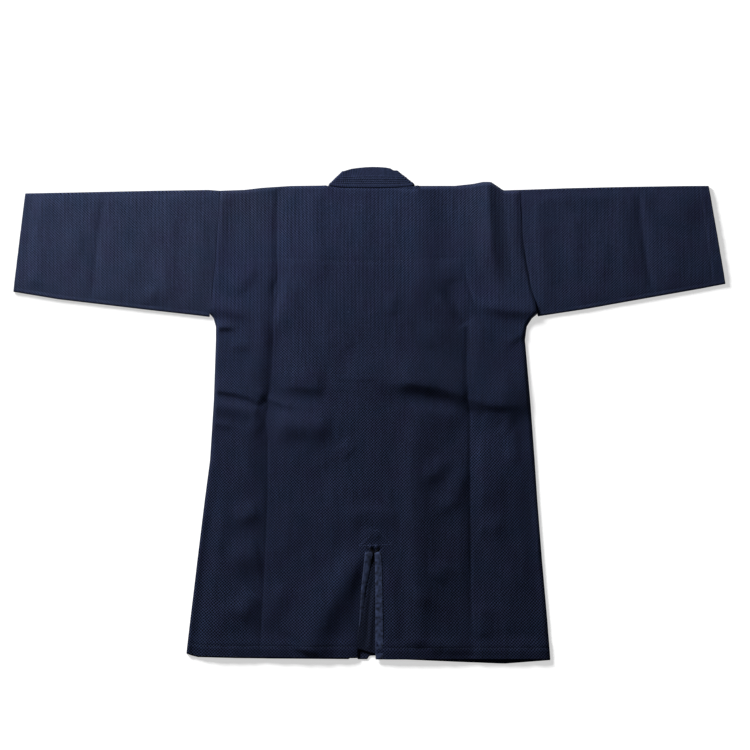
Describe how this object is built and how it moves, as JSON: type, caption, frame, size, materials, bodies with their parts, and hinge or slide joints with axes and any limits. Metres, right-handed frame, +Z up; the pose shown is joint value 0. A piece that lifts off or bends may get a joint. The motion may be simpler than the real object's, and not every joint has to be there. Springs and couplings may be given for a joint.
{
  "type": "kendo jacket",
  "caption": "Short wrapped jacket of one layer of woven cotton with straight sleeves, a sewn collar band and a bound centre back vent, laid flat with its back up.",
  "frame": {"origin": "below the middle of the jacket, on the surface it lies on", "axes": "+X from the wearer's left cuff to the right cuff, +Y from the hem to the collar, +Z up from the surface to the back of the jacket"},
  "size_m": [1.2086, 0.8434, 0.0129],
  "materials": {
    "cloth": "matt indigo cotton with a raised diamond weave",
    "binding_tape": "matt navy plain-woven cotton tape"
  },
  "bodies": {
    "root": {"front_left": "cloth", "front_right": "cloth", "back": "cloth", "sleeve_left": "cloth", "sleeve_right": "cloth", "collar": "cloth", "vent_binding_left": "binding_tape", "vent_binding_right": "binding_tape"}
  },
  "joints": []
}
